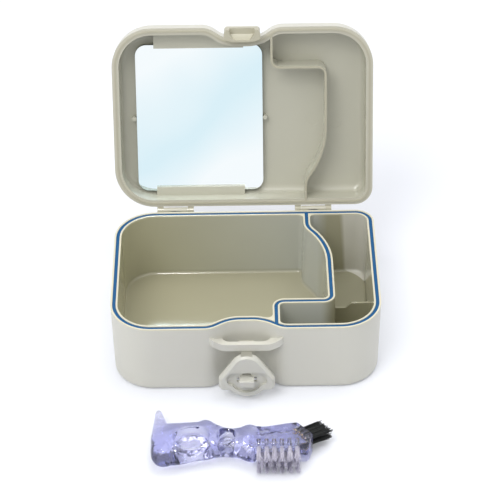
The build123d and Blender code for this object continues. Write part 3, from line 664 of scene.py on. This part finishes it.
# %% [markdown]
# ## Clear plastic
# The brush body is a clear, faintly violet acrylic. A glass shader with a flat tint looks like
# window glass. In the real moulding the tint deepens where the light goes a long way through,
# and the edges that face away look dark. So a volume absorbs red and green light along the way,
# and a Layer Weight node paints dark violet shade on the turned-away faces. A slow wave and a
# small ripple in the normal stand for the flow lines of the moulding, which bend what is seen
# through it.

# %% Clear plastic
CLEAR_FACE_COLOR = (0.90, 0.897, 0.945, 1.0)
# painted dark violet shade on the turned-away edges
CLEAR_EDGE_SHADE_COLOR = (0.11, 0.12, 0.45, 1.0)
CLEAR_EDGE_SHADE_POWER = 1.8
CLEAR_DEPTH_COLOR = (0.12, 0.14, 0.58, 1.0)
CLEAR_DEPTH_DENSITY = 46.0
CLEAR_WAVE_SCALE = 170.0
CLEAR_RIPPLE_SCALE = 480.0
CLEAR_RIPPLE_SHARE = 0.22
CLEAR_WAVE_STRENGTH = 0.70
CLEAR_WAVE_DEPTH = 1.4 * MM
CLEAR_ROUGH = (0.0, 0.05)
CLEAR_ROUGH_SCALE = 90.0


def make_clear_plastic():
    """Clear acrylic: its tint deepens with thickness, painted shade darkens the edges, and it
    bends light.
    """
    material, tree = new_material("clear_plastic")
    place = split_position(tree)[0]
    wave = noise(tree, place, CLEAR_WAVE_SCALE, 0.0, 1.0, detail=1.0)
    ripple = noise(tree, place, CLEAR_RIPPLE_SCALE, 0.0, CLEAR_RIPPLE_SHARE, detail=1.0)
    height = math_node(tree, "ADD", wave, ripple)
    waved = bump(tree, height, CLEAR_WAVE_STRENGTH, CLEAR_WAVE_DEPTH)
    turned = add_node(tree, "ShaderNodeLayerWeight", {"Blend": 0.5, "Normal": waved})
    # painted shade on the faces that turn away
    edge = math_node(tree, "POWER", turned.outputs["Facing"], CLEAR_EDGE_SHADE_POWER)
    inputs = {
        "Base Color": blend_color(tree, edge, CLEAR_FACE_COLOR, CLEAR_EDGE_SHADE_COLOR),
        "Roughness": noise(tree, place, CLEAR_ROUGH_SCALE, *CLEAR_ROUGH),
        "IOR": PLASTIC_IOR,
        "Transmission Weight": 1.0,
        "Normal": waved,
    }
    shader = principled(tree, inputs)
    inputs = {"Color": CLEAR_DEPTH_COLOR, "Density": CLEAR_DEPTH_DENSITY}
    depth = add_node(tree, "ShaderNodeVolumeAbsorption", inputs).outputs[0]
    add_node(tree, "ShaderNodeOutputMaterial", {"Surface": shader, "Volume": depth})
    return material


clear_plastic = make_clear_plastic()
print("clear plastic ready")

# %% [markdown]
# ## Brush body
# Every edge of the real handle is rounded by a polished tool. A Bevel modifier would stumble on
# the many small faces where the finger waves meet the head. So the CAD solid is copied, its
# loose triangles are merged, and the copy is remeshed into small even faces and smoothed. Clear
# plastic shows each bump by how it bends light, so the softening matters more here than anywhere.

# %% Brush body
BRUSH_VOXEL = 0.32 * MM
BRUSH_SMOOTH_ROUNDS = 8
SMOOTH_FACTOR = 0.5
MERGE_DISTANCE = 1e-6


def softened_copy(node_name, piece_name, voxel, rounds):
    """A remeshed and smoothed copy of a CAD node's mesh."""
    mesh = nodes[node_name].data.copy()
    mesh.name = piece_name
    work = bmesh.new()
    work.from_mesh(mesh)
    bmesh.ops.remove_doubles(work, verts=work.verts, dist=MERGE_DISTANCE)
    work.to_mesh(mesh)
    work.free()
    piece = bpy.data.objects.new(piece_name, mesh)
    bpy.context.collection.objects.link(piece)
    remesh = piece.modifiers.new("even_faces", "REMESH")
    remesh.mode = "VOXEL"
    remesh.voxel_size = voxel
    smooth = piece.modifiers.new("soft_edges", "SMOOTH")
    smooth.factor = SMOOTH_FACTOR
    smooth.iterations = rounds
    depsgraph = bpy.context.evaluated_depsgraph_get()
    baked = bpy.data.meshes.new_from_object(piece.evaluated_get(depsgraph))
    piece.modifiers.clear()
    piece.data = baked
    for face in baked.polygons:
        face.use_smooth = True
    return piece


brush_body = softened_copy("brush_handle", "brush_body", BRUSH_VOXEL, BRUSH_SMOOTH_ROUNDS)
brush_body.data.materials.clear()
brush_body.data.materials.append(clear_plastic)
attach(brush_body, "brush")
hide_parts("brush_handle")
print("brush body faces", len(brush_body.data.polygons))

# %% [markdown]
# ## How the bristles grow
# The small brush carries two sets of tufts: clear nylon in front, and stiff black nylon on the
# end of the head. Each tuft is a bundle of thin strands folded into a drilled hole. Strands
# could be modelled one by one or grown as hair, but a Geometry Nodes tree with named sizes
# makes both sets from one rule, and its fixed seed gives the same brush each time. A few helpers
# come first, because the tree needs the same small steps many times.

# %% Helpers for Geometry Nodes trees
RANDOM_LOW, RANDOM_HIGH, RANDOM_OWNER, RANDOM_SEED, RANDOM_RESULT = 2, 3, 7, 8, 1


def join_xyz(tree, x, y, z):
    """One vector from three values."""
    return add_node(tree, "ShaderNodeCombineXYZ", {0: x, 1: y, 2: z}).outputs[0]


def geometry_node(tree, kind, inputs, **settings):
    """One Geometry Nodes step; returns its first output."""
    return add_node(tree, kind, inputs, **settings).outputs[0]


def random_number(tree, low, high, seed, owner=None):
    """A random number for each point, or one for all points with the same owner number.

    The Random Value node's sockets share names, so they go by number.
    """
    inputs = {RANDOM_LOW: low, RANDOM_HIGH: high, RANDOM_SEED: seed}
    if owner is not None:
        inputs[RANDOM_OWNER] = owner
    node = add_node(tree, "FunctionNodeRandomValue", inputs, data_type="FLOAT")
    return node.outputs[RANDOM_RESULT]


def random_for_point(tree, given, offset, low, high):
    """A random number for each point, with a seed that is offset from the tree's own."""
    return random_number(tree, low, high, math_node(tree, "ADD", given["Seed"], float(offset)))


print("geometry helpers ready")

# %% [markdown]
# ## Roots, lean and length
# A tuft fills a round hole, and its outer strands splay out. Points could be scattered on a disc,
# but the disc itself isn't wanted. So each tuft's centre is copied once for each strand, and each
# copy moves by a random turn and distance. The square root of a random share fills the disc
# evenly, where the share alone would crowd the middle. The lean grows with the distance from the
# middle, and the length is trimmed by chance, as worn bristles are.

# %% Roots, lean and length
FULL_TURN = 2.0 * math.pi
LEAN_JITTER = 0.03
TURN_SEED, SHARE_SEED, LEAN_X_SEED, LEAN_Y_SEED, TRIM_SEED = range(5)


def strand_roots(tree, given):
    """Copies each tuft's centre into its strands' roots, spread evenly over the tuft's disc."""
    inputs = {"Geometry": given["Geometry"], "Amount": given["Strands"]}
    copies = geometry_node(tree, "GeometryNodeDuplicateElements", inputs, domain="POINT")
    turn = random_for_point(tree, given, TURN_SEED, 0.0, FULL_TURN)
    share = math_node(tree, "SQRT", random_for_point(tree, given, SHARE_SEED, 0.0, 1.0))
    out = math_node(tree, "MULTIPLY", share, given["Tuft Radius"])
    side_x = math_node(tree, "MULTIPLY", math_node(tree, "COSINE", turn), out)
    side_y = math_node(tree, "MULTIPLY", math_node(tree, "SINE", turn), out)
    down = math_node(tree, "MULTIPLY", given["Root Depth"], -1.0)
    inputs = {"Geometry": copies, "Offset": join_xyz(tree, side_x, side_y, down)}
    return geometry_node(tree, "GeometryNodeSetPosition", inputs), side_x, side_y


def strand_lean(tree, given, side_x, side_y):
    """A lean that grows with the distance from the tuft's middle, with a little chance."""
    lean_x = math_node(tree, "MULTIPLY", side_x, given["Spread"])
    lean_y = math_node(tree, "MULTIPLY", side_y, given["Spread"])
    chance_x = random_for_point(tree, given, LEAN_X_SEED, -LEAN_JITTER, LEAN_JITTER)
    chance_y = random_for_point(tree, given, LEAN_Y_SEED, -LEAN_JITTER, LEAN_JITTER)
    lean_x = math_node(tree, "ADD", lean_x, chance_x)
    lean_y = math_node(tree, "ADD", lean_y, chance_y)
    inputs = {"Vector": join_xyz(tree, lean_x, lean_y, 1.0)}
    return geometry_node(tree, "FunctionNodeAlignRotationToVector", inputs, axis="Z")


def strand_length(tree, given):
    """The reach, trimmed by chance, plus the part that is down in the hole."""
    trim = random_for_point(tree, given, TRIM_SEED, 0.0, 1.0)
    trim = math_node(tree, "MULTIPLY", trim, given["Ragged"])
    trim = math_node(tree, "SUBTRACT", 1.0, trim)
    length = math_node(tree, "MULTIPLY", given["Reach"], trim)
    return math_node(tree, "ADD", length, given["Root Depth"])


print("roots, lean and length ready, with jitter", LEAN_JITTER)

# %% [markdown]
# ## From lines to round strands
# A nylon strand is a thin rod with a slight bend of its own. It could be an instanced cylinder,
# but instances can't bend one by one. So a short line stands on every root, becomes a real
# curve, and its points move sideways by a power of the way along: not at all at the root, and
# most at the tip. A circle with few sides, swept along it, is round enough at this size.

# %% Straight strands, bend and section
STRAND_STEPS = 6
STRAND_SIDES = 6
CURL_SEEDS = (5, 6)
CURL_POWER = 2.5
SWEEP_POWER = 1.5
TIP_THINNING = 0.35


def straight_strands(tree, roots, lean, length):
    """Stands a line on every root and makes the lines real curves."""
    inputs = {"Start": (0.0, 0.0, 0.0), "End": (0.0, 0.0, 1.0)}
    line = geometry_node(tree, "GeometryNodeCurvePrimitiveLine", inputs)
    inputs = {"Curve": line, "Count": STRAND_STEPS}
    steps = geometry_node(tree, "GeometryNodeResampleCurve", inputs)
    size = join_xyz(tree, 1.0, 1.0, length)
    inputs = {"Points": roots, "Instance": steps, "Rotation": lean, "Scale": size}
    stood = geometry_node(tree, "GeometryNodeInstanceOnPoints", inputs)
    return geometry_node(tree, "GeometryNodeRealizeInstances", {"Geometry": stood})


def bent_strands(tree, given, strands, along):
    """Bends each strand its own way, and sweeps all of them to one side, more at the tips."""
    index = add_node(tree, "GeometryNodeInputIndex").outputs[0]
    strand = math_node(tree, "DIVIDE", index, float(STRAND_STEPS))
    strand = math_node(tree, "FLOOR", strand)
    curls = []
    for seed in CURL_SEEDS:
        curl = random_number(tree, -1.0, 1.0, seed, owner=strand)
        curl = math_node(tree, "MULTIPLY", curl, given["Curl"])
        grown = math_node(tree, "POWER", along, CURL_POWER)
        curls.append(math_node(tree, "MULTIPLY", curl, grown))
    sweep = math_node(tree, "POWER", along, SWEEP_POWER)
    sweep = math_node(tree, "MULTIPLY", given["Sweep"], sweep)
    bend = join_xyz(tree, math_node(tree, "ADD", curls[0], sweep), curls[1], 0.0)
    inputs = {"Geometry": strands, "Offset": bend}
    return geometry_node(tree, "GeometryNodeSetPosition", inputs)


def round_strands(tree, given, strands, along):
    """Gives the curves a round section that thins toward the tip."""
    thin = math_node(tree, "MULTIPLY", along, TIP_THINNING)
    thin = math_node(tree, "SUBTRACT", 1.0, thin)
    inputs = {"Curve": strands, "Radius": thin}
    tapered = geometry_node(tree, "GeometryNodeSetCurveRadius", inputs)
    inputs = {"Resolution": STRAND_SIDES, "Radius": given["Strand Radius"]}
    section = geometry_node(tree, "GeometryNodeCurvePrimitiveCircle", inputs, mode="RADIUS")
    inputs = {"Curve": tapered, "Profile Curve": section, "Fill Caps": True}
    mesh = geometry_node(tree, "GeometryNodeCurveToMesh", inputs)
    inputs = {"Geometry": mesh, "Shade Smooth": True}
    return geometry_node(tree, "GeometryNodeSetShadeSmooth", inputs)


print("strands have", STRAND_SIDES, "sides and", STRAND_STEPS, "points")

# %% [markdown]
# ## One tree for both sets
# The steps are joined in one node group. Its named inputs are what a brush maker would state,
# such as the number of strands, the tuft's radius and the reach, so the two sets differ only in
# values. Two separate trees would drift apart. Realize Instances and Set Material come last,
# because an export keeps only real faces, each with its material.

# %% The bristle tree
BRISTLE_INPUTS = (
    ("Geometry", "NodeSocketGeometry"),
    ("Strands", "NodeSocketInt"),
    ("Tuft Radius", "NodeSocketFloat"),
    ("Root Depth", "NodeSocketFloat"),
    ("Reach", "NodeSocketFloat"),
    ("Spread", "NodeSocketFloat"),
    ("Ragged", "NodeSocketFloat"),
    ("Curl", "NodeSocketFloat"),
    ("Sweep", "NodeSocketFloat"),
    ("Strand Radius", "NodeSocketFloat"),
    ("Seed", "NodeSocketInt"),
    ("Material", "NodeSocketMaterial"),
)


def make_bristle_tree():
    """Points in, one mesh of strands out. The strands stand along +Z."""
    tree = bpy.data.node_groups.new("grow_bristles", "GeometryNodeTree")
    for name, kind in BRISTLE_INPUTS:
        tree.interface.new_socket(name=name, in_out="INPUT", socket_type=kind)
    tree.interface.new_socket(name="Geometry", in_out="OUTPUT", socket_type="NodeSocketGeometry")
    given = add_node(tree, "NodeGroupInput").outputs
    roots, side_x, side_y = strand_roots(tree, given)
    lean = strand_lean(tree, given, side_x, side_y)
    strands = straight_strands(tree, roots, lean, strand_length(tree, given))
    along = add_node(tree, "GeometryNodeSplineParameter").outputs["Factor"]
    strands = bent_strands(tree, given, strands, along)
    strands = round_strands(tree, given, strands, along)
    real = geometry_node(tree, "GeometryNodeRealizeInstances", {"Geometry": strands})
    inputs = {"Geometry": real, "Material": given["Material"]}
    done = geometry_node(tree, "GeometryNodeSetMaterial", inputs)
    tree.links.new(done, add_node(tree, "NodeGroupOutput").inputs[0])
    return tree


bristle_tree = make_bristle_tree()
print("bristle tree nodes", len(bristle_tree.nodes))

# %% [markdown]
# ## Growing and baking
# The tree could stay live on each set as a modifier. It is baked instead: what the tree made
# becomes a plain mesh, and its place goes into its vertices, so that the object itself stays at
# the origin like every CAD node. Then the modifier is removed.

# %% Grow and bake
def grow_bristles(name, spots, turn, values):
    """Runs the tree on a set of tuft centres and bakes one mesh, put in place by a matrix."""
    mesh = bpy.data.meshes.new(name)
    mesh.from_pydata([(u, v, 0.0) for u, v in spots], [], [])
    piece = bpy.data.objects.new(name, mesh)
    bpy.context.collection.objects.link(piece)
    modifier = piece.modifiers.new("bristles", "NODES")
    modifier.node_group = bristle_tree
    for item in bristle_tree.interface.items_tree:
        if item.in_out == "INPUT" and item.name in values:
            modifier[item.identifier] = values[item.name]
    depsgraph = bpy.context.evaluated_depsgraph_get()
    baked = bpy.data.meshes.new_from_object(piece.evaluated_get(depsgraph))
    piece.modifiers.clear()
    baked.transform(turn)
    baked.name = name
    piece.data = baked
    return piece


print("bristle inputs", [name for name, kind in BRISTLE_INPUTS])

# %% [markdown]
# ## Bristle finishes
# Nylon strands are neither glass nor paint. The clear ones pass part of the light and scatter
# the rest, so a bundle looks milky. The black ones are dyed through, with a soft gloss line.
# Full transmission would be true to one strand, but hundreds of them would need many bounces
# of light and turn dark. A pale colour with a little transmission looks the same and is cheap.

# %% Bristle materials
CLEAR_NYLON_DEEP = (0.60, 0.57, 0.76, 1.0)
CLEAR_NYLON_PALE = (0.90, 0.88, 0.94, 1.0)
BLACK_NYLON_DEEP = (0.004, 0.005, 0.005, 1.0)
BLACK_NYLON_PALE = (0.016, 0.018, 0.017, 1.0)
CLEAR_NYLON_ROUGH = (0.22, 0.36)
BLACK_NYLON_ROUGH = (0.30, 0.45)
NYLON_TONE_SCALE = 1400.0
NYLON_ROUGH_SCALE = 700.0
NYLON_IOR = 1.50


def make_nylon(name, deep, pale, rough, extra):
    """Strands of one nylon, with a slight change of tone from strand to strand."""
    material, tree = new_material(name)
    place = split_position(tree)[0]
    tone = noise(tree, place, NYLON_TONE_SCALE, 0.0, 1.0)
    inputs = {
        "Base Color": blend_color(tree, tone, deep, pale),
        "Roughness": noise(tree, place, NYLON_ROUGH_SCALE, *rough),
        "IOR": NYLON_IOR,
        **extra,
    }
    output_surface(tree, principled(tree, inputs))
    return material


clear_nylon = make_nylon(
    "clear_nylon",
    CLEAR_NYLON_DEEP,
    CLEAR_NYLON_PALE,
    CLEAR_NYLON_ROUGH,
    {"Transmission Weight": 0.25},
)
black_nylon = make_nylon(
    "black_nylon",
    BLACK_NYLON_DEEP,
    BLACK_NYLON_PALE,
    BLACK_NYLON_ROUGH,
    {"Specular IOR Level": 0.35},
)
print("nylon ready")

# %% [markdown]
# ## Clear bristles
# Seventeen clear tufts stand in three rows on the front face of the head, the middle row shifted
# by half a pitch. The rows are laid out flat, grown along +Z, and turned to look forward by one
# matrix, which is simpler than growing each tuft in its own direction.

# %% Clear bristles
BRUSH_Y = -92.5 * MM
BRUSH_MIDDLE_Z = 6.0 * MM
TUFT_FACE_Y = BRUSH_Y - 5.0 * MM
TUFT_START_X = 5.1 * MM
TUFT_PITCH = 3.55 * MM
TUFT_COLUMNS = 6
TUFT_ROW_GAP = 3.6 * MM

clear_spots = []
for row in (-1, 0, 1):
    shifted = row == 0
    start_x = TUFT_START_X + (TUFT_PITCH / 2 if shifted else 0.0)
    for column in range(TUFT_COLUMNS - 1 if shifted else TUFT_COLUMNS):
        clear_spots.append((start_x + column * TUFT_PITCH, row * TUFT_ROW_GAP))
clear_turn = Matrix(
    ((1, 0, 0, 0), (0, 0, -1, TUFT_FACE_Y), (0, 1, 0, BRUSH_MIDDLE_Z), (0, 0, 0, 1))
)
clear_bristles = grow_bristles(
    "clear_bristles",
    clear_spots,
    clear_turn,
    {
        "Strands": 34,
        "Tuft Radius": 0.86 * MM,
        "Root Depth": 4.0 * MM,
        "Reach": 9.2 * MM,
        "Spread": 14.0,
        "Ragged": 0.22,
        "Curl": 0.55 * MM,
        "Sweep": 0.0,
        "Strand Radius": 0.12 * MM,
        "Seed": 11,
        "Material": clear_nylon,
    },
)
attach(clear_bristles, "brush")
for number in range(1, len(clear_spots) + 1):
    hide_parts(f"clear_tuft_{number:02d}")
print("clear strands", len(clear_spots), "tufts,", len(clear_bristles.data.polygons), "faces")

# %% [markdown]
# ## Dark bristles
# Eight stiff black tufts stand on the slanted end of the head, in two rows of four. Their
# directions come from two points on that end face, so they stay square to it. In use they take
# a set and sweep to one side, which is the tree's Sweep input.

# %% Dark bristles
END_FACE_BOTTOM = Vector((30.4 * MM, BRUSH_Y + 2.2 * MM, BRUSH_MIDDLE_Z))
END_FACE_TOP = Vector((23.3 * MM, BRUSH_Y + 10.4 * MM, BRUSH_MIDDLE_Z))
DARK_PITCH = 2.35 * MM
DARK_COLUMNS = 4

end_middle = (END_FACE_BOTTOM + END_FACE_TOP) / 2
face_along = (END_FACE_TOP - END_FACE_BOTTOM).normalized()
face_out = Vector((face_along.y, -face_along.x, 0.0))
face_across = Vector((-face_out.y, face_out.x, 0.0))
face_up = face_out.cross(face_across)
dark_spots = []
for row in (-0.5, 0.5):
    for column in range(DARK_COLUMNS):
        across = (column - (DARK_COLUMNS - 1) / 2) * DARK_PITCH
        dark_spots.append((across, row * TUFT_ROW_GAP))
face_turn = Matrix((face_across, face_up, face_out)).transposed().to_4x4()
dark_bristles = grow_bristles(
    "dark_bristles",
    dark_spots,
    Matrix.Translation(end_middle) @ face_turn,
    {
        "Strands": 46,
        "Tuft Radius": 0.90 * MM,
        "Root Depth": 2.6 * MM,
        "Reach": 11.0 * MM,
        "Spread": 14.0,
        "Ragged": 0.24,
        "Curl": 0.35 * MM,
        "Sweep": -2.7 * MM,
        "Strand Radius": 0.12 * MM,
        "Seed": 23,
        "Material": black_nylon,
    },
)
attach(dark_bristles, "brush")
for number in range(1, len(dark_spots) + 1):
    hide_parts(f"dark_tuft_{number:02d}")
print("dark strands", len(dark_spots), "tufts,", len(dark_bristles.data.polygons), "faces")
